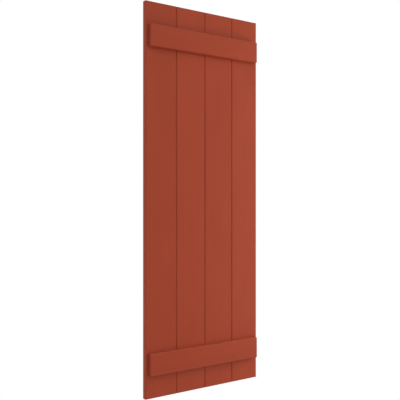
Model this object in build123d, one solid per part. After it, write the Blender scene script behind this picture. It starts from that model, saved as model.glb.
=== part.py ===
from build123d import *
import math
import os

# A fixed board-and-batten window shutter: four bevelled boards joined edge to edge by
# tongue and groove, held together by two battens across the front. The battens are
# screwed on from behind, so no fixing shows on the face.
#
# Millimetres, +Z up. The origin is the middle of the flat back, which lies on the wall
# plane y = 0. The front faces -Y, and the boards are counted from its left (-X).

INCH = 25.4

# Boards
SHUTTER_HEIGHT = 60 * INCH
BOARD_COUNT = 4
BOARD_FACE = 5.375 * INCH  # what a middle board covers, from joint to joint
JOINT_SHIFT = 0.125 * INCH  # the first board covers this much more, the last this much less
BOARD_THICKNESS = 0.75 * INCH
BOARD_BEVEL = 0.125 * INCH  # 45 degrees, along both long front edges
BOARD_END_EASING = 0.5  # sanded arris where the front meets a sawn end

# Tongue-and-groove joint, in the middle of the boards' thickness
TONGUE_THICKNESS = 0.25 * INCH
TONGUE_LENGTH = 0.25 * INCH
TONGUE_NOSE = 0.8  # chamfer on both corners of the tongue's tip
TONGUE_SIDE_PLAY = 0.15  # between the tongue and each side of its groove
TONGUE_TIP_PLAY = 0.8  # between the tongue's tip and the groove's floor
BACK_JOINT_PLAY = 0.4  # the groove's back lip stops short, so that the front joint closes

# Battens
BATTEN_HEIGHT = 3.375 * INCH
BATTEN_THICKNESS = 0.75 * INCH
BATTEN_SIDE_INSET = 0.5 * INCH  # from the shutter's side to the batten's end
BATTEN_END_MARGIN = 3.5 * INCH  # from the shutter's top or bottom to the batten
BATTEN_BEVEL = 0.125 * INCH  # 45 degrees, along both long front edges
BATTEN_END_EASING = 0.5  # sanded arris where the front meets a sawn end

# Holes for the screws that hold the battens, two for each board and batten
SCREW_SHANK_DIAMETER = 4.2
SCREW_ROOT_DIAMETER = 3.0  # under the thread
SCREW_HEAD_DIAMETER = 8.4
SCREW_HEAD_ANGLE = 82  # degrees, across the countersink
SCREW_HEAD_SINK = 0.3  # how far a head lies below the boards' back
SHANK_PLAY = 0.15  # all round, in the boards
PILOT_TIP_PLAY = 2.0  # past the screw's point, in the batten
PILOT_COVER = 4.05  # of the batten, in front of the pilot holes
SCREW_SIDE_DISTANCE = 34.0  # from a board's joint lines
SCREW_EDGE_DISTANCE = 0.75 * INCH  # from the batten's long edges

# What follows from them
SHUTTER_WIDTH = BOARD_COUNT * BOARD_FACE
BATTEN_LENGTH = SHUTTER_WIDTH - 2 * BATTEN_SIDE_INSET
BATTEN_MIDDLE = SHUTTER_HEIGHT / 2 - BATTEN_END_MARGIN - BATTEN_HEIGHT / 2
FRONT = -BOARD_THICKNESS
TONGUE_FRONT = (BOARD_THICKNESS - TONGUE_THICKNESS) / 2  # depth below the boards' front
TONGUE_BACK = TONGUE_FRONT + TONGUE_THICKNESS
SCREW_RISE = BATTEN_HEIGHT / 2 - SCREW_EDGE_DISTANCE  # from the batten's centreline
PILOT_END = FRONT - BATTEN_THICKNESS + PILOT_COVER
SCREW_POINT = PILOT_END + PILOT_TIP_PLAY


def plain_edge():
    """Bevel and square side of an outer board, as (distance past the joint line, depth)."""
    return [(-BOARD_BEVEL, 0), (0, BOARD_BEVEL), (0, BOARD_THICKNESS)]


def tongue_edge():
    """Bevel, shoulders and tongue, with the corners of the tongue's tip taken off."""
    shoulder = TONGUE_LENGTH - TONGUE_NOSE
    return [
        (-BOARD_BEVEL, 0),
        (0, BOARD_BEVEL),
        (0, TONGUE_FRONT),
        (shoulder, TONGUE_FRONT),
        (TONGUE_LENGTH, TONGUE_FRONT + TONGUE_NOSE),
        (TONGUE_LENGTH, TONGUE_BACK - TONGUE_NOSE),
        (shoulder, TONGUE_BACK),
        (0, TONGUE_BACK),
        (0, BOARD_THICKNESS),
    ]


def groove_edge():
    """Bevel, front lip that meets the next board, groove, and the shorter back lip."""
    floor = -(TONGUE_LENGTH + TONGUE_TIP_PLAY)
    front = TONGUE_FRONT - TONGUE_SIDE_PLAY
    back = TONGUE_BACK + TONGUE_SIDE_PLAY
    return [
        (-BOARD_BEVEL, 0),
        (0, BOARD_BEVEL),
        (0, front),
        (floor, front),
        (floor, back),
        (-BACK_JOINT_PLAY, back),
        (-BACK_JOINT_PLAY, BOARD_THICKNESS),
    ]


def joint_line(index):
    """X of a board's left joint line or side; one past the last board, the right side."""
    even = index * BOARD_FACE - SHUTTER_WIDTH / 2
    return even + JOINT_SHIFT if 0 < index < BOARD_COUNT else even


def board_section(index):
    """Cross-section of one board at z = 0: tongue on its left, groove on its right."""
    left, right = joint_line(index), joint_line(index + 1)
    left_edge = plain_edge() if index == 0 else tongue_edge()
    right_edge = plain_edge() if index == BOARD_COUNT - 1 else groove_edge()
    down_the_right = [(right + out, FRONT + depth) for out, depth in right_edge]
    up_the_left = [(left - out, FRONT + depth) for out, depth in reversed(left_edge)]
    return make_face(Polyline(*down_the_right, *up_the_left, close=True))


def screw_places(index, batten_z):
    """Where one board's two screws cross a batten, staggered so as not to split it."""
    return [
        (joint_line(index) + SCREW_SIDE_DISTANCE, batten_z - SCREW_RISE),
        (joint_line(index + 1) - SCREW_SIDE_DISTANCE, batten_z + SCREW_RISE),
    ]


def bored(outline, x, z):
    """Solid of revolution about a screw's axis, from (radius, y) points."""
    profile = make_face(Polyline(*outline, close=True))
    return Pos(x, 0, z) * revolve(profile, axis=Axis.Y)


def board_hole(x, z):
    """Countersunk clearance hole through a board, entered from the back."""
    sink_radius = SCREW_HEAD_DIAMETER / 2
    shank_radius = SCREW_SHANK_DIAMETER / 2 + SHANK_PLAY
    cone_depth = (sink_radius - shank_radius) / math.tan(math.radians(SCREW_HEAD_ANGLE / 2))
    outline = [
        (0, 0),
        (sink_radius, 0),
        (sink_radius, -SCREW_HEAD_SINK),
        (shank_radius, -SCREW_HEAD_SINK - cone_depth),
        (shank_radius, FRONT),
        (0, FRONT),
    ]
    return bored(outline, x, z)


def pilot_hole(x, z):
    """Blind hole in a batten for a screw's threaded end, with the drill's conical point."""
    radius = SCREW_ROOT_DIAMETER / 2
    return bored([(0, FRONT), (radius, FRONT), (radius, SCREW_POINT), (0, PILOT_END)], x, z)


def make_board(index):
    """One board, with eased front arrises at its ends and its four screw holes."""
    board = extrude(board_section(index), SHUTTER_HEIGHT / 2, both=True)
    face = board.faces().filter_by(Axis.Y).sort_by(Axis.Y)[0]
    board = chamfer(face.edges().filter_by(Axis.X), BOARD_END_EASING)
    for batten_z in (-BATTEN_MIDDLE, BATTEN_MIDDLE):
        for x, z in screw_places(index, batten_z):
            board -= board_hole(x, z)
    return board


def batten_section(batten_z):
    """Cross-section of a batten at x = 0, flat against the boards and bevelled in front."""
    half, bevel = BATTEN_HEIGHT / 2, BATTEN_BEVEL
    out = FRONT - BATTEN_THICKNESS
    return make_face(
        Polyline(
            (0, FRONT, batten_z - half),
            (0, out + bevel, batten_z - half),
            (0, out, batten_z - half + bevel),
            (0, out, batten_z + half - bevel),
            (0, out + bevel, batten_z + half),
            (0, FRONT, batten_z + half),
            close=True,
        )
    )


def make_batten(batten_z):
    """One batten on the boards' front, with eased front arrises at its ends and blind holes."""
    batten = extrude(batten_section(batten_z), BATTEN_LENGTH / 2, both=True)
    face = batten.faces().filter_by(Axis.Y).sort_by(Axis.Y)[0]
    batten = chamfer(face.edges().filter_by(Axis.Z), BATTEN_END_EASING)
    for index in range(BOARD_COUNT):
        for x, z in screw_places(index, batten_z):
            batten -= pilot_hole(x, z)
    return batten


pieces = {f"board_{index + 1}": make_board(index) for index in range(BOARD_COUNT)}
pieces["top_batten"] = make_batten(BATTEN_MIDDLE)
pieces["bottom_batten"] = make_batten(-BATTEN_MIDDLE)

os.makedirs("parts", exist_ok=True)
for name, piece in pieces.items():
    export_step(piece, f"parts/{name}.step")
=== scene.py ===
"""Looks of a fixed board and batten shutter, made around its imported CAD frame.

Metres, +Z up. The shutter's flat back lies on y = 0 and its front faces -Y. The heights of
surface relief are in millimetres.
"""

import math
import random

import bmesh
import bpy
from bpy.props import FloatProperty, FloatVectorProperty, IntProperty, PointerProperty
from mathutils import Euler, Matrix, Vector


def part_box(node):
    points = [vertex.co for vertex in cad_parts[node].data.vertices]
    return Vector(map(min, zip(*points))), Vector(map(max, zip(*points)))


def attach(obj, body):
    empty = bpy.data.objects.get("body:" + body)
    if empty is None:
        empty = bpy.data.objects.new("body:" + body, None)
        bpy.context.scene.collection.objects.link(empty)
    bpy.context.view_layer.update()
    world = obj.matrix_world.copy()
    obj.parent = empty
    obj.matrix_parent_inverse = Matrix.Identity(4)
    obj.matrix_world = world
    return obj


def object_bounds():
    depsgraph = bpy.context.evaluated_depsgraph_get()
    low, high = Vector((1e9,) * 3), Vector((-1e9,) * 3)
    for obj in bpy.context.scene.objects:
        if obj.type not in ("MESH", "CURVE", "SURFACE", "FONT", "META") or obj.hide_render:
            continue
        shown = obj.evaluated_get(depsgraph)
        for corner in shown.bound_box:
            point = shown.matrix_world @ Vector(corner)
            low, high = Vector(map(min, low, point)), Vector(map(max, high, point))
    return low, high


bl_info = {
    "name": "Board and Batten Shutter",
    "version": (1, 0, 0),
    "blender": (4, 5, 0),
    "location": "3D View > Sidebar > Shutter",
    "description": "Paint, batten screws and studio stage of a board and batten shutter",
    "category": "Object",
}

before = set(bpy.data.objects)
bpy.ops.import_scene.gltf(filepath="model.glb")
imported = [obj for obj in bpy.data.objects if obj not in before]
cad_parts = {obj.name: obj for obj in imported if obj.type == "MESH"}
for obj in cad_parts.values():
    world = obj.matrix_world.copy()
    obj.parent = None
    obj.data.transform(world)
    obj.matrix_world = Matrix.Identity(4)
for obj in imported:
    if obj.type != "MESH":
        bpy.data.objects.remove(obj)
CAD_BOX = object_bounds()

BODY = "root"
MM = 0.001
BOARDS = sorted(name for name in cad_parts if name.startswith("board_"))
BATTENS = {"top": "top_batten", "bottom": "bottom_batten"}
BOARD_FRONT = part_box(BOARDS[0])[0].y
BOARD_SIDES = [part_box(BOARDS[0])[0].x] + [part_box(name)[1].x for name in BOARDS]
JOINT_LINES = BOARD_SIDES[1:-1]

# Shares of a face's normal along an axis at which it starts to count as facing that way,
# and fully counts
FACING_START = 0.8
FACING_END = 0.95

# A noise texture's values between these two are spread out from 0 to 1
NOISE_LOW = 0.25
NOISE_HIGH = 0.75

# Cosines of the turn between the flat and the rounded normal where an edge's wear starts,
# and is full
EDGE_START = 0.985
EDGE_FULL = 0.8

# Shares of the dirt and painted shade in the boards' joints and beside the battens, how far
# they reach, and the share of them that is left in their weakest patches
JOINT_GRIME_AND_SHADE = 0.4
FOOT_GRIME_AND_SHADE = 0.3
JOINT_REACH = 3.6 * MM
FOOT_REACH = 16.0 * MM
GRIME_AND_SHADE_LEAST = 0.7

# Depths below the boards' front between which the dirt and painted shade beside the battens stop
GRIME_AND_SHADE_FULL_DEPTH = 4 * MM
GRIME_AND_SHADE_NONE_DEPTH = 6 * MM

# Upward share of a face's normal from which dust lies on it
DUST_SLOPE = 0.5

# Between these distances from the shutter's outline the full coat on its back gets thin.
# The border drifts in and out, and the share differs from streak to streak.
COAT_START = 12 * MM
COAT_END = 65 * MM
COAT_DRIFT = 24 * MM
THIN_LEAST = 0.4
THIN_MOST = 0.9

# How far, in metres, a piece may be shifted in the patterns, so that no two look the same
PATTERN_SHIFT = 3

# Widths of the patterns in the paint, and their scale along a piece as a share of that
# across it
CLOUD_SIZE = 110 * MM
MOTTLE_SIZE = 32 * MM
STREAK_SIZE = 16 * MM
PATCH_SIZE = 9 * MM
CLOUD_STRETCH = 0.35
STREAK_STRETCH = 0.02

# Shares of those patterns in the paint's tone
CLOUD_SHARE = 0.55
STREAK_SHARE = 0.25
LINE_SHARE = 0.2

# What each kind of surface adds to the paint's roughness
ROUGHNESS_SPREAD = 0.05
SAWN_ROUGHNESS = 0.18
BACK_ROUGHNESS = 0.1
WEAR_ROUGHNESS = -0.25
DUST_ROUGHNESS = 0.8
GRIME_AND_SHADE_ROUGHNESS = 0.5

# Specks in the coat, saw marks and pores in the sawn ends, and stipple on the back, with
# depths in millimetres
SPECK_SPACING = 45 * MM
SPECK_RADIUS = 0.7 * MM
SPECK_DEPTH = 0.07
SAW_MARK_SIZE = 1.3 * MM
SAW_MARK_STRETCH = 0.07
SAW_MARK_DEPTH = 0.1
PORE_SIZE = 0.7 * MM
PORE_DEPTH = 0.05
STIPPLE_SIZE = 4 * MM
STIPPLE_DEPTH = 0.1

# Turning rings, scratches and blotches on the screws' steel, with depths in millimetres
TURNING_PITCH = 0.35 * MM
TURNING_DEPTH = 0.004
SCRATCH_SIZE = 0.25 * MM
SCRATCH_STRETCH = 0.08
SCRATCH_DEPTH = 0.006
BLOTCH_SIZE = 1.5 * MM
STEEL_ARRIS = 0.15 * MM

# The steel's lightness in its blotches, the painted shade's lightness deep in the recess,
# how strongly the recess shows that painted shade, and the steel's roughness
STEEL_DARK = 0.86
STEEL_LIGHT = 1.1
RECESS_SHADE_LIGHTNESS = 0.12
RECESS_SHADE = 0.75
STEEL_SMOOTH = 0.3
STEEL_ROUGH = 0.44
RECESS_ROUGHNESS = 0.2

# Depth where the recess turns dull and painted shade starts, and where the shank stops the shade
DULL_AND_SHADE_START = 0.2 * MM
RECESS_SHADE_LAST = 4 * MM
RECESS_SHADE_END = 6 * MM

# A screw's head, point and thread: the recess's arms as shares of the head's radius, the
# head's rounded edge as pairs of depth and inset, and the thread's ridge as a share of the
# pitch
RECESS_ARM = 0.52
RECESS_HALF_WIDTH = 0.12
RECESS_DEPTH = 2.1 * MM
HEAD_EDGE = ((0.0, 0.18 * MM), (0.06 * MM, 0.05 * MM), (0.16 * MM, 0.0))
HEAD_RIM = 0.35 * MM
POINT_LENGTH = 4.5 * MM
POINT_RADIUS = 0.05 * MM
RIDGE_HALF_WIDTH = 0.24

# How finely a screw is divided, and the angle from which its edges stay sharp
STEPS_PER_QUARTER = 8
RINGS_PER_TURN = 12
SHARP_ANGLE = math.radians(32)

# The floor, and the distances over which it fades to white
FLOOR_HALF = 12.0
FLOOR_GREY = 0.86
FADE_START = 1.9
FADE_END = 2.9

# Where each lamp stands, its width and its height
SIDE_LAMP = ((1.7, -0.4, 0.0), 0.3, 0.3)
STRIP_LAMP = ((0.9, -0.6, 0.0), 0.15, 2.0)
TOP_LAMP = ((0.0, -1.0, 1.8), 1.0, 0.4)
BACK_LAMP = ((0.6, 2.7, 0.6), 1.6, 1.6)


class ShutterPaint(bpy.types.PropertyGroup):
    """Satin paint sprayed over planed boards."""

    colour: FloatVectorProperty(
        name="Colour", description="Paint colour", subtype="COLOR", size=3,
        min=0, max=1, default=(0.335, 0.051, 0.0205),
    )
    clouding: FloatProperty(
        name="Clouding", description="Share by which the colour drifts over a board",
        subtype="FACTOR", min=0, max=1, default=0.06,
    )
    piece_change: FloatProperty(
        name="Change between pieces", description="Share by which one piece may differ in colour",
        subtype="FACTOR", min=0, max=1, default=0.012,
    )
    roughness: FloatProperty(
        name="Roughness", description="Roughness of the clean paint",
        subtype="FACTOR", min=0, max=1, default=0.5,
    )
    shine: FloatProperty(
        name="Shine", description="Specular level of the paint",
        subtype="FACTOR", min=0, max=1, default=0.17,
    )
    peel_size: FloatProperty(
        name="Spray texture size", description="Width of the dimples that spraying leaves",
        unit="LENGTH", min=0, default=2.2 * MM, precision=5,
    )
    peel_height: FloatProperty(
        name="Spray texture height", description="Depth of those dimples, in millimetres",
        min=0, default=0.03, precision=3,
    )
    line_width: FloatProperty(
        name="Planing line width", description="Width of the faint lines along a piece",
        unit="LENGTH", min=0, default=3.0 * MM, precision=5,
    )
    line_height: FloatProperty(
        name="Planing line height", description="Height of those lines, in millimetres",
        min=0, default=0.02, precision=3,
    )
    wave_size: FloatProperty(
        name="Wave size", description="Width of the slow waves in a planed face",
        unit="LENGTH", min=0, default=70 * MM,
    )
    wave_height: FloatProperty(
        name="Wave height", description="Height of those waves, in millimetres",
        min=0, default=0.25, precision=3,
    )
    arris_radius: FloatProperty(
        name="Arris radius", description="How round the paint is over a sharp edge",
        unit="LENGTH", min=0, default=0.8 * MM, precision=5,
    )
    wear_width: FloatProperty(
        name="Worn edge width", description="How far wear reaches from an edge",
        unit="LENGTH", min=0, default=2.0 * MM, precision=5,
    )
    wear: FloatProperty(
        name="Edge wear", description="How much paler the paint is where edges are rubbed",
        subtype="FACTOR", min=0, max=1, default=0.2,
    )
    rubbed_colour: FloatVectorProperty(
        name="Rubbed colour", description="Paint polished thin by handling", subtype="COLOR",
        size=3, min=0, max=1, default=(0.50, 0.135, 0.080),
    )
    # Strength of the dirt and painted shade in the joints and corners
    grime_and_shade: FloatProperty(
        name="Grime", description="How strong the dirt in the joints and corners is",
        subtype="FACTOR", min=0, max=1, default=0.12,
    )
    # Colour of that dirt and painted shade in the joints and corners
    grime_and_shade_colour: FloatVectorProperty(
        name="Grime colour", description="Dirt that collects in the joints and corners",
        subtype="COLOR", size=3, min=0, max=1, default=(0.075, 0.022, 0.012),
    )
    dust: FloatProperty(
        name="Dust", description="How strong the dust on upward faces is",
        subtype="FACTOR", min=0, max=1, default=0.16,
    )
    dust_colour: FloatVectorProperty(
        name="Dust colour", description="Dust that settles on upward faces",
        subtype="COLOR", size=3, min=0, max=1, default=(0.42, 0.30, 0.25),
    )
    thin_colour: FloatVectorProperty(
        name="Thin coat colour", description="The single thin coat on the back",
        subtype="COLOR", size=3, min=0, max=1, default=(0.37, 0.085, 0.048),
    )


class ShutterScrews(bpy.types.PropertyGroup):
    """Countersunk wood screws, driven from the back through the boards into the battens."""

    head_diameter: FloatProperty(
        name="Head", description="Diameter of a screw's head",
        unit="LENGTH", min=0, default=8.2 * MM, precision=5,
    )
    shank_diameter: FloatProperty(
        name="Shank", description="Diameter of the plain shank and over the thread",
        unit="LENGTH", min=0, default=4.2 * MM, precision=5,
    )
    root_diameter: FloatProperty(
        name="Root", description="Diameter under the thread",
        unit="LENGTH", min=0, default=2.9 * MM, precision=5,
    )
    pitch: FloatProperty(
        name="Pitch", description="Distance between turns of the thread",
        unit="LENGTH", min=0, default=1.8 * MM, precision=5,
    )
    length: FloatProperty(
        name="Length", description="From the head's top to the point",
        unit="LENGTH", min=0, default=31.75 * MM, precision=5,
    )
    sink: FloatProperty(
        name="Sink", description="How far the head lies below the back",
        unit="LENGTH", min=0, default=0.3 * MM, precision=5,
    )
    joint_distance: FloatProperty(
        name="Joint distance", description="From a board's joint lines or sides to its screws",
        unit="LENGTH", min=0, default=34.0 * MM,
    )
    edge_distance: FloatProperty(
        name="Edge distance", description="From a batten's long edges to the screws",
        unit="LENGTH", min=0, default=19.05 * MM,
    )
    colour: FloatVectorProperty(
        name="Steel", description="Colour of the screws' steel", subtype="COLOR",
        size=3, min=0, max=1, default=(0.52, 0.51, 0.49),
    )
    seed: IntProperty(
        name="Turn seed", description="Changes how far round each screw stopped", default=4,
    )


class ShutterStage(bpy.types.PropertyGroup):
    """Camera, lamps and floor of the studio."""

    camera_place: FloatVectorProperty(
        name="Camera place", description="Where the camera stands",
        subtype="TRANSLATION", unit="LENGTH", size=3, default=(-1.4255, -2.0706, 0.0),
    )
    camera_turn: FloatProperty(
        name="Camera turn", description="How far the camera is turned from facing the wall",
        subtype="ANGLE", default=math.radians(34.387),
    )
    lens: FloatProperty(
        name="Lens", description="Focal length on a 36 mm wide sensor, in millimetres",
        min=1, default=55.346,
    )
    floor_drop: FloatProperty(
        name="Floor drop", description="Height of the shutter's lower end above the floor",
        unit="LENGTH", min=0, default=0.9,
    )
    ambient: FloatProperty(
        name="Ambient", description="Strength of the light from all round",
        min=0, default=0.2,
    )
    front_glow: FloatProperty(
        name="Front glow", description="Strength of the soft light from straight in front",
        min=0, default=0.92,
    )
    left_glow: FloatProperty(
        name="Left glow", description="Strength of the soft light from the left",
        min=0, default=0.5,
    )
    side_power: FloatProperty(
        name="Side lamp", description="Power of the small lamp far out at the right",
        unit="POWER", min=0, default=18.0,
    )
    strip_power: FloatProperty(
        name="Strip lamp", description="Power of the tall lamp at the right",
        unit="POWER", min=0, default=3.3,
    )
    top_power: FloatProperty(
        name="Top lamp", description="Power of the lamp over the front",
        unit="POWER", min=0, default=1.0,
    )
    back_power: FloatProperty(
        name="Back lamp", description="Power of the lamp that lights the back",
        unit="POWER", min=0, default=29.0,
    )


class Nodes:
    """A node tree, with a short method for each kind of node that the scene uses."""

    def __init__(self, tree):
        self.tree = tree

    def feed(self, socket, value):
        """Link a socket to another node's output, or set the socket's own value."""
        if isinstance(value, bpy.types.NodeSocket):
            self.tree.links.new(value, socket)
        else:
            socket.default_value = value

    def add(self, kind, inputs=None, **settings):
        """Add a node, with its properties, and its inputs by name or number."""
        node = self.tree.nodes.new("ShaderNode" + kind)
        for name, value in settings.items():
            setattr(node, name, value)
        for name, value in (inputs or {}).items():
            self.feed(node.inputs[name], value)
        return node

    def maths(self, operation, *values):
        """Result of one maths node."""
        node = self.add("Math", dict(enumerate(values)), operation=operation)
        return node.outputs["Value"]

    def total(self, *values):
        """Sum of several values."""
        result = values[0]
        for value in values[1:]:
            result = self.maths("ADD", result, value)
        return result

    def product(self, *values):
        """Product of several values."""
        result = values[0]
        for value in values[1:]:
            result = self.maths("MULTIPLY", result, value)
        return result

    def least(self, values):
        """Smallest of several values."""
        result = values[0]
        for value in values[1:]:
            result = self.maths("MINIMUM", result, value)
        return result

    def most(self, values):
        """Largest of several values."""
        result = values[0]
        for value in values[1:]:
            result = self.maths("MAXIMUM", result, value)
        return result

    def distance(self, value, other):
        """How far a value is from another, without its sign."""
        return self.maths("ABSOLUTE", self.maths("SUBTRACT", value, other))

    def split(self, vector):
        """X, Y and Z of a vector."""
        parts = self.add("SeparateXYZ", {"Vector": vector}).outputs
        return parts["X"], parts["Y"], parts["Z"]

    def ramp(self, value, start, end, low=0.0, high=1.0):
        """Smooth step from a low value at start to a high one at end."""
        node = self.add(
            "MapRange",
            {"Value": value, "From Min": start, "From Max": end, "To Min": low, "To Max": high},
            interpolation_type="SMOOTHSTEP",
        )
        return node.outputs["Result"]

    def white_rays(self):
        """1 for rays that see the surroundings: from the camera, or by way of gloss or glass."""
        rays = self.add("LightPath").outputs
        return self.most(
            [rays["Is Camera Ray"], rays["Is Glossy Ray"], rays["Is Transmission Ray"]]
        )


class Finish(Nodes):
    """One material, with methods for the patterns that the finishes are made of."""

    def __init__(self, name):
        self.material = bpy.data.materials.new(name)
        self.material.use_nodes = True
        super().__init__(self.material.node_tree)
        self.shader = self.tree.nodes["Principled BSDF"]
        self.place = self.add("TexCoord").outputs["Object"]
        self.normal = self.add("NewGeometry").outputs["Normal"]

    def shift(self, vector, by):
        """A vector moved by another."""
        return self.add("VectorMath", {0: vector, 1: by}, operation="ADD").outputs["Vector"]

    def noise(self, place, size, detail=2.0, stretch=(1.0, 1.0, 1.0)):
        """Soft random value from 0 to 1, with features about a size across."""
        scale = [share / size for share in stretch]
        scaled = self.add("VectorMath", {0: place, 1: scale}, operation="MULTIPLY")
        texture = self.add(
            "TexNoise", {"Vector": scaled.outputs["Vector"], "Scale": 1.0, "Detail": detail}
        )
        return self.ramp(texture.outputs["Fac"], NOISE_LOW, NOISE_HIGH)

    def specks(self, place, spacing, radius):
        """1 in the middle of scattered round specks, about a spacing apart."""
        texture = self.add("TexVoronoi", {"Vector": place, "Scale": 1 / spacing})
        return self.ramp(texture.outputs["Distance"], radius / spacing, 0.0)

    def between(self, data_type, factor, first, second):
        """Output of a mix node of one data type."""
        node = self.add("Mix", data_type=data_type)
        sockets = [socket for socket in node.inputs if socket.enabled]
        for socket, value in zip(sockets, (factor, first, second)):
            self.feed(socket, value)
        return next(socket for socket in node.outputs if socket.enabled)

    def choose(self, factor, first, second):
        """Value between two others."""
        return self.between("FLOAT", factor, first, second)

    def tint(self, factor, first, second):
        """Colour between two others."""
        return self.between("RGBA", factor, first, second)

    def softened(self, radius):
        """Surface normal, rounded over the piece's sharp edges."""
        return self.add("Bevel", {"Radius": radius}, samples=8).outputs["Normal"]

    def near_edges(self, reach):
        """1 on the piece's edges, fading to 0 at about a reach from them."""
        match = self.add(
            "VectorMath", {0: self.softened(reach), 1: self.normal}, operation="DOT_PRODUCT"
        )
        return self.ramp(match.outputs["Value"], EDGE_START, EDGE_FULL)

    def finish(self, colour, roughness, height, normal):
        """Connect the shader, with relief of a height in millimetres."""
        self.feed(self.shader.inputs["Base Color"], colour)
        self.feed(self.shader.inputs["Roughness"], roughness)
        bump = self.add("Bump", {"Height": height, "Distance": MM, "Normal": normal})
        self.feed(self.shader.inputs["Normal"], bump.outputs["Normal"])
        return self.material


def shaded(colour, share):
    """A colour made lighter or darker by a share, with the alpha that sockets want."""
    return (*(channel * share for channel in colour), 1.0)


def joint_grime_and_shade(finish):
    """Dirt and painted shade in the boards' V-joints, fading out at the top of their bevels."""
    x, _, _ = finish.split(finish.place)
    away = finish.least([finish.distance(x, line) for line in JOINT_LINES])
    return finish.ramp(away, JOINT_REACH, 0.0, 0.0, JOINT_GRIME_AND_SHADE)


def batten_grime_and_shade(finish):
    """Dirt and painted shade on the boards' front along the battens' edges, fading out beside
    them.
    """
    x, y, z = finish.split(finish.place)
    outside = []
    for name in BATTENS.values():
        low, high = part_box(name)
        past = [
            finish.maths("SUBTRACT", finish.distance(along, (start + end) / 2), (end - start) / 2)
            for along, start, end in ((x, low.x, high.x), (z, low.z, high.z))
        ]
        outside.append(finish.most(past))
    on_front = finish.ramp(y, BOARD_FRONT + GRIME_AND_SHADE_NONE_DEPTH, BOARD_FRONT + GRIME_AND_SHADE_FULL_DEPTH)
    beside = finish.ramp(finish.least(outside), FOOT_REACH, 0.0)
    return finish.product(beside, on_front, FOOT_GRIME_AND_SHADE)


def foot_grime_and_shade(finish):
    """Dirt and painted shade where a batten meets the boards, fading out up its sides."""
    _, y, _ = finish.split(finish.place)
    return finish.ramp(y, BOARD_FRONT - FOOT_REACH, BOARD_FRONT, 0.0, FOOT_GRIME_AND_SHADE)


def thin_coat(finish, clouds):
    """0 where spray from the sides and ends also reached the back, 1 further in."""
    x, _, z = finish.split(finish.place)
    inward = finish.least([
        finish.maths("SUBTRACT", limit, finish.maths("ABSOLUTE", along))
        for along, limit in ((x, CAD_BOX[1].x), (z, CAD_BOX[1].z))
    ])
    uneven = finish.total(inward, finish.product(clouds, COAT_DRIFT))
    return finish.ramp(uneven, COAT_START, COAT_END)


def drawn_out(length_axis, stretch):
    """Stretch for a pattern that runs along a piece."""
    return [stretch if axis == length_axis else 1.0 for axis in range(3)]


def painted(name, paint, seed, length_axis, grime_and_shade_masks):
    """Paint over one planed piece whose length runs along axis 0 or 2, X or Z."""
    draw = random.Random(seed)
    shade = 1 + draw.uniform(-paint.piece_change, paint.piece_change)
    finish = Finish(name)
    place = finish.shift(finish.place, [draw.uniform(0, PATTERN_SHIFT) for _ in range(3)])
    facing = finish.split(finish.normal)
    streaked = drawn_out(length_axis, STREAK_STRETCH)

    endways = finish.maths("ABSOLUTE", facing[length_axis])
    ends = finish.ramp(endways, FACING_START, FACING_END)
    back = finish.ramp(facing[1], FACING_START, FACING_END)
    clouds = finish.noise(place, CLOUD_SIZE, 3.0, drawn_out(length_axis, CLOUD_STRETCH))
    lines = finish.noise(place, paint.line_width, 1.0, streaked)
    streaks = finish.noise(place, STREAK_SIZE, 2.0, streaked)
    patches = finish.noise(place, PATCH_SIZE, 4.0)
    mottle = finish.noise(place, MOTTLE_SIZE, 4.0)

    wear = finish.product(finish.near_edges(paint.wear_width), patches, paint.wear)
    # Dirt and painted shade: darker colour in the joints and beside the battens, where shade
    # falls
    masks = finish.most([mask(finish) for mask in grime_and_shade_masks])
    grime_and_shade = finish.product(masks, finish.choose(patches, GRIME_AND_SHADE_LEAST, 1.0), paint.grime_and_shade)
    dust = finish.product(finish.ramp(facing[2], DUST_SLOPE, 1.0), mottle, paint.dust)
    streaked_thin = finish.choose(streaks, THIN_LEAST, THIN_MOST)
    thin = finish.product(back, thin_coat(finish, clouds), streaked_thin)

    tone = finish.total(
        finish.product(clouds, CLOUD_SHARE),
        finish.product(streaks, STREAK_SHARE),
        finish.product(lines, LINE_SHARE),
    )
    colour = finish.tint(
        tone,
        shaded(paint.colour, shade * (1 - paint.clouding)),
        shaded(paint.colour, shade * (1 + paint.clouding)),
    )
    colour = finish.tint(thin, colour, shaded(paint.thin_colour, shade))
    colour = finish.tint(wear, colour, shaded(paint.rubbed_colour, shade))
    colour = finish.tint(dust, colour, shaded(paint.dust_colour, 1.0))
    # Painted shade and dirt darken the joints and the corners beside the battens
    colour = finish.tint(grime_and_shade, colour, shaded(paint.grime_and_shade_colour, 1.0))

    smoothest = paint.roughness - ROUGHNESS_SPREAD
    roughest = paint.roughness + ROUGHNESS_SPREAD
    roughness = finish.total(
        finish.choose(mottle, smoothest, roughest),
        finish.product(ends, SAWN_ROUGHNESS),
        finish.product(back, BACK_ROUGHNESS),
        finish.product(wear, WEAR_ROUGHNESS),
        finish.product(dust, DUST_ROUGHNESS),
        finish.product(grime_and_shade, GRIME_AND_SHADE_ROUGHNESS),
    )

    face = finish.total(
        finish.product(finish.noise(place, paint.peel_size, 1.5), paint.peel_height),
        finish.product(lines, paint.line_height),
        finish.product(finish.noise(place, paint.wave_size, 1.0), paint.wave_height),
        finish.product(finish.specks(place, SPECK_SPACING, SPECK_RADIUS), SPECK_DEPTH),
    )
    saw_marks = finish.noise(place, SAW_MARK_SIZE, 1.0, drawn_out(1, SAW_MARK_STRETCH))
    sawn = finish.total(
        finish.product(saw_marks, SAW_MARK_DEPTH),
        finish.product(finish.noise(place, PORE_SIZE, 2.0), PORE_DEPTH),
    )
    stipple = finish.product(finish.noise(place, STIPPLE_SIZE, 2.0), back, STIPPLE_DEPTH)
    height = finish.total(finish.choose(ends, face, sawn), stipple)
    finish.shader.inputs["Specular IOR Level"].default_value = paint.shine
    return finish.finish(colour, roughness, height, finish.softened(paint.arris_radius))


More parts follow.
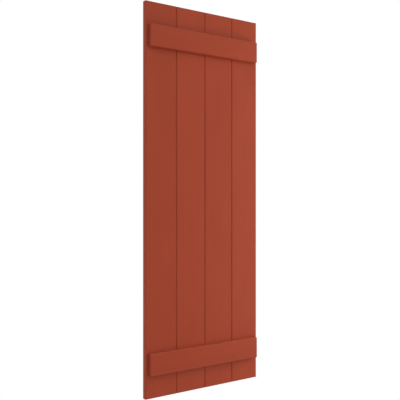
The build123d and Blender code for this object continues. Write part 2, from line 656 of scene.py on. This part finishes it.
def screw_steel(settings):
    """Bright steel with turning rings on the head, dull in the recess, with painted shade there.
    """
    finish = Finish("screw_steel")
    x, y, z = finish.split(finish.place)
    radius = finish.maths("SQRT", finish.total(finish.product(x, x), finish.product(z, z)))
    in_recess = finish.ramp(y, -DULL_AND_SHADE_START, -RECESS_DEPTH)
    in_head = finish.ramp(y, -RECESS_SHADE_END, -RECESS_SHADE_LAST)
    on_head = finish.ramp(radius, 0.0, settings.head_diameter / 2)
    blotches = finish.noise(finish.place, BLOTCH_SIZE, 3.0)
    # Painted shade: the steel is darkened deep in the recess, stopping on the shank
    painted_recess_shade = finish.product(in_recess, finish.product(in_head, RECESS_SHADE))
    colour = finish.tint(
        blotches, shaded(settings.colour, STEEL_DARK), shaded(settings.colour, STEEL_LIGHT)
    )
    colour = finish.tint(painted_recess_shade, colour, shaded(settings.colour, RECESS_SHADE_LIGHTNESS))
    roughness = finish.total(
        finish.choose(blotches, STEEL_SMOOTH, STEEL_ROUGH),
        finish.product(in_recess, RECESS_ROUGHNESS),
    )
    turn = finish.maths("SINE", finish.product(radius, math.tau / TURNING_PITCH))
    scratches = finish.noise(finish.place, SCRATCH_SIZE, 1.0, (1.0, 1.0, SCRATCH_STRETCH))
    height = finish.total(
        finish.product(turn, on_head, TURNING_DEPTH), finish.product(scratches, SCRATCH_DEPTH)
    )
    finish.shader.inputs["Metallic"].default_value = 1.0
    return finish.finish(colour, roughness, height, finish.softened(STEEL_ARRIS))


def cross_radius(angle, arm, half_width):
    """Distance from the middle to the outline of a cross with arms of one length and width."""
    across, up = abs(math.cos(angle)), abs(math.sin(angle))
    long_side = min(arm / max(across, 1e-9), half_width / max(up, 1e-9))
    tall_side = min(half_width / max(across, 1e-9), arm / max(up, 1e-9))
    return max(long_side, tall_side)


def screw_angles(arm, half_width):
    """Angles round a screw, with one at each corner of its recess."""
    quarter = math.tau / 4
    corner = math.atan2(half_width, arm)
    steps = {
        round(index * quarter / STEPS_PER_QUARTER, 6) for index in range(STEPS_PER_QUARTER)
    }
    steps |= {round(corner, 6), round(quarter - corner, 6)}
    return [turn * quarter + step for turn in range(4) for step in sorted(steps)]


def screw_rings(settings, shank_end):
    """Rings of (depth, radius) pairs from a screw's recess to its point, and their angles."""
    head = settings.head_diameter / 2
    shank, root = settings.shank_diameter / 2, settings.root_diameter / 2
    arm, half_width = RECESS_ARM * head, RECESS_HALF_WIDTH * head
    cone_end = HEAD_RIM + head - shank
    angles = screw_angles(arm, half_width)

    def round_ring(depth, radius):
        return [(depth, radius) for _ in angles]

    def cross_ring(depth, share):
        return [(depth, share * cross_radius(angle, arm, half_width)) for angle in angles]

    def threaded_ring(depth):
        """Root circle with a triangular ridge that winds round once in each pitch."""
        slim = min(1.0, (settings.length - depth) / POINT_LENGTH)
        grown = min(1.0, (depth - shank_end) / settings.pitch, slim * 1.5)
        ring = []
        for angle in angles:
            phase = (depth / settings.pitch - angle / math.tau) % 1.0
            ridge = max(0.0, 1 - abs(phase - 0.5) / RIDGE_HALF_WIDTH)
            radius = slim * root + grown * ridge * (shank - root)
            ring.append((depth, max(POINT_RADIUS, radius)))
        return ring

    rings = [
        cross_ring(RECESS_DEPTH, 0.35),
        cross_ring(RECESS_DEPTH * 0.8, 0.62),
        cross_ring(0.1 * MM, 0.94),
        cross_ring(0.0, 1.0),
        *(round_ring(depth, head - inset) for depth, inset in HEAD_EDGE),
        round_ring(HEAD_RIM, head),
        round_ring(cone_end, shank),
        round_ring(shank_end, shank),
    ]
    threaded = settings.length - shank_end
    steps = math.ceil(threaded / settings.pitch * RINGS_PER_TURN)
    step = threaded / steps
    rings += [threaded_ring(shank_end + index * step) for index in range(1, steps + 1)]
    return rings, angles


def screw_mesh(settings, shank_end):
    """Screw along -Y with its head's top at y = 0, skinned ring by ring."""
    rings, angles = screw_rings(settings, shank_end)
    mesh = bpy.data.meshes.new("screw")
    shape = bmesh.new()
    rows = [
        [
            shape.verts.new((radius * math.cos(angle), -depth, radius * math.sin(angle)))
            for angle, (depth, radius) in zip(angles, ring)
        ]
        for ring in rings
    ]
    count = len(angles)
    for row, next_row in zip(rows, rows[1:]):
        for index in range(count):
            after = (index + 1) % count
            shape.faces.new((row[index], row[after], next_row[after], next_row[index]))
    for row, depth in ((rows[0], RECESS_DEPTH * 1.08), (rows[-1], settings.length)):
        middle = shape.verts.new((0.0, -depth, 0.0))
        for index in range(count):
            shape.faces.new((row[index], row[(index + 1) % count], middle))
    bmesh.ops.recalc_face_normals(shape, faces=shape.faces)
    for face in shape.faces:
        face.smooth = True
    shape.to_mesh(mesh)
    shape.free()
    mesh.set_sharp_from_angle(angle=SHARP_ANGLE)
    return mesh


def screw_places(settings, batten):
    """Where a batten's screws cross the boards' back: two to a board, one low and one high."""
    low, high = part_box(batten)
    middle = (low.z + high.z) / 2
    rise = (high.z - low.z) / 2 - settings.edge_distance
    places = []
    for left, right in zip(BOARD_SIDES, BOARD_SIDES[1:]):
        places.append((left + settings.joint_distance, middle - rise))
        places.append((right - settings.joint_distance, middle + rise))
    return places


def discard(name):
    """Remove what an earlier run of an operator made, so that it can be made again."""
    old = bpy.data.objects.get(name)
    if old is not None:
        bpy.data.objects.remove(old)


def add_floor(settings):
    """Pale floor that keeps the shadow near the shutter and fades to white further off."""
    discard("floor")
    half = FLOOR_HALF
    low = CAD_BOX[0].z - settings.floor_drop
    corners = [(-half, -half, low), (half, -half, low), (half, half, low), (-half, half, low)]
    mesh = bpy.data.meshes.new("floor")
    mesh.from_pydata(corners, [], [(0, 1, 2, 3)])
    floor = bpy.data.objects.new("floor", mesh)
    bpy.context.scene.collection.objects.link(floor)
    material = bpy.data.materials.new("pale_floor")
    material.use_nodes = True
    material.node_tree.nodes.clear()
    nodes = Nodes(material.node_tree)
    place = nodes.add("TexCoord").outputs["Object"]
    away = nodes.add("VectorMath", {0: place}, operation="LENGTH").outputs["Value"]
    far = nodes.product(nodes.ramp(away, FADE_START, FADE_END), nodes.white_rays())
    grey = (FLOOR_GREY, FLOOR_GREY, FLOOR_GREY, 1)
    matt = nodes.add("BsdfDiffuse", {"Color": grey}).outputs["BSDF"]
    white = nodes.add("Emission", {"Strength": 1.0}).outputs["Emission"]
    mix = nodes.add("MixShader", {"Fac": far, 1: matt, 2: white})
    nodes.add("OutputMaterial", {"Surface": mix.outputs["Shader"]})
    mesh.materials.append(material)


def add_world(settings):
    """Soft light, strongest from the front and the left, that is seen as plain white."""
    world = bpy.data.worlds.new("studio")
    bpy.context.scene.world = world
    world.use_nodes = True
    world.node_tree.nodes.clear()
    nodes = Nodes(world.node_tree)
    way = nodes.add("TexCoord").outputs["Generated"]
    strength = settings.ambient
    for towards, glow in (((0, -1, 0), settings.front_glow), ((-1, 0, 0), settings.left_glow)):
        facing = nodes.add("VectorMath", {0: way, 1: towards}, operation="DOT_PRODUCT")
        ahead = nodes.maths("MAXIMUM", facing.outputs["Value"], 0.0)
        strength = nodes.maths("MULTIPLY_ADD", ahead, glow, strength)
    light = nodes.add("Background", {"Color": (1, 1, 1, 1), "Strength": strength})
    seen = nodes.add("Background", {"Color": (1, 1, 1, 1)})
    mix = nodes.add(
        "MixShader",
        {
            "Fac": nodes.white_rays(),
            1: light.outputs["Background"],
            2: seen.outputs["Background"],
        },
    )
    nodes.add("OutputWorld", {"Surface": mix.outputs["Shader"]})


def add_lamp(name, place, width, height, power):
    """Rectangular area lamp that faces the shutter's middle and doesn't show in its gloss."""
    discard(name)
    data = bpy.data.lights.new(name, "AREA")
    data.shape = "RECTANGLE"
    data.size = width
    data.size_y = height
    data.energy = power
    lamp = bpy.data.objects.new(name, data)
    lamp.location = place
    lamp.rotation_euler = (-Vector(place)).to_track_quat("-Z", "Y").to_euler()
    lamp.visible_camera = False
    lamp.visible_glossy = False
    bpy.context.scene.collection.objects.link(lamp)


def add_camera(settings):
    """Camera that is level and turned to the photographed view."""
    discard("camera")
    data = bpy.data.cameras.new("camera")
    data.lens = settings.lens
    camera = bpy.data.objects.new("camera", data)
    camera.location = settings.camera_place
    camera.rotation_euler = Euler((math.pi / 2, 0, -settings.camera_turn))
    bpy.context.scene.collection.objects.link(camera)
    bpy.context.scene.camera = camera


class SHUTTER_OT_boards(bpy.types.Operator):
    """Paint the four boards, with dirt and painted shade in their joints and beside the battens
    """

    bl_idname = "shutter.boards"
    bl_label = "Boards"

    def execute(self, context):
        paint = context.scene.shutter_paint
        for seed, name in enumerate(BOARDS, start=1):
            material = painted(f"{name}_paint", paint, seed, 2, (joint_grime_and_shade, batten_grime_and_shade))
            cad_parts[name].material_slots[0].material = material
        return {"FINISHED"}


class SHUTTER_OT_battens(bpy.types.Operator):
    """Paint the two battens, with dirt and painted shade where they meet the boards"""

    bl_idname = "shutter.battens"
    bl_label = "Battens"

    def execute(self, context):
        paint = context.scene.shutter_paint
        for seed, name in enumerate(BATTENS.values(), start=len(BOARDS) + 1):
            material = painted(f"{name}_paint", paint, seed, 0, (foot_grime_and_shade,))
            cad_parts[name].material_slots[0].material = material
        return {"FINISHED"}


class SHUTTER_OT_screws(bpy.types.Operator):
    """Drive the countersunk screws into their holes from the back"""

    bl_idname = "shutter.screws"
    bl_label = "Screws"

    def execute(self, context):
        settings = context.scene.shutter_screws
        mesh = screw_mesh(settings, -BOARD_FRONT - settings.sink)
        mesh.materials.append(screw_steel(settings))
        draw = random.Random(settings.seed)
        for place_name, batten in BATTENS.items():
            if settings.sink + settings.length >= -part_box(batten)[0].y:
                raise ValueError("The screws would come out of the battens' front.")
            for number, (x, z) in enumerate(screw_places(settings, batten), start=1):
                name = f"screw_{place_name}_{number}"
                discard(name)
                screw = bpy.data.objects.new(name, mesh)
                screw.location = (x, -settings.sink, z)
                screw.rotation_euler = (0, draw.uniform(0, math.tau / 4), 0)
                context.scene.collection.objects.link(screw)
                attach(screw, BODY)
        return {"FINISHED"}


class SHUTTER_OT_stage(bpy.types.Operator):
    """Set up the camera, world, floor and lamps"""

    bl_idname = "shutter.stage"
    bl_label = "Stage"

    def execute(self, context):
        settings = context.scene.shutter_stage
        context.scene.view_settings.view_transform = "Standard"
        add_camera(settings)
        add_world(settings)
        add_floor(settings)
        add_lamp("side_lamp", *SIDE_LAMP, settings.side_power)
        add_lamp("strip_lamp", *STRIP_LAMP, settings.strip_power)
        add_lamp("top_lamp", *TOP_LAMP, settings.top_power)
        add_lamp("back_lamp", *BACK_LAMP, settings.back_power)
        return {"FINISHED"}


class SHUTTER_PT_sidebar(bpy.types.Panel):
    """Sizes and colours, with a button for each group of pieces"""

    bl_idname = "SHUTTER_PT_sidebar"
    bl_label = "Shutter"
    bl_space_type = "VIEW_3D"
    bl_region_type = "UI"
    bl_category = "Shutter"

    def draw(self, context):
        scene = context.scene
        sections = (
            ("Paint", scene.shutter_paint, ("shutter.boards", "shutter.battens")),
            ("Screws", scene.shutter_screws, ("shutter.screws",)),
            ("Stage", scene.shutter_stage, ("shutter.stage",)),
        )
        for title, settings, buttons in sections:
            box = self.layout.box()
            box.label(text=title)
            for name in type(settings).__annotations__:
                box.prop(settings, name)
            for button in buttons:
                box.operator(button)


CLASSES = (
    ShutterPaint,
    ShutterScrews,
    ShutterStage,
    SHUTTER_OT_boards,
    SHUTTER_OT_battens,
    SHUTTER_OT_screws,
    SHUTTER_OT_stage,
    SHUTTER_PT_sidebar,
)


def register():
    for kind in CLASSES:
        bpy.utils.register_class(kind)
    bpy.types.Scene.shutter_paint = PointerProperty(type=ShutterPaint)
    bpy.types.Scene.shutter_screws = PointerProperty(type=ShutterScrews)
    bpy.types.Scene.shutter_stage = PointerProperty(type=ShutterStage)


def unregister():
    del bpy.types.Scene.shutter_stage
    del bpy.types.Scene.shutter_screws
    del bpy.types.Scene.shutter_paint
    for kind in reversed(CLASSES):
        bpy.utils.unregister_class(kind)


def main():
    register()
    bpy.ops.shutter.boards()
    bpy.ops.shutter.battens()
    bpy.ops.shutter.screws()
    bpy.ops.shutter.stage()


if __name__ == "__main__":
    main()
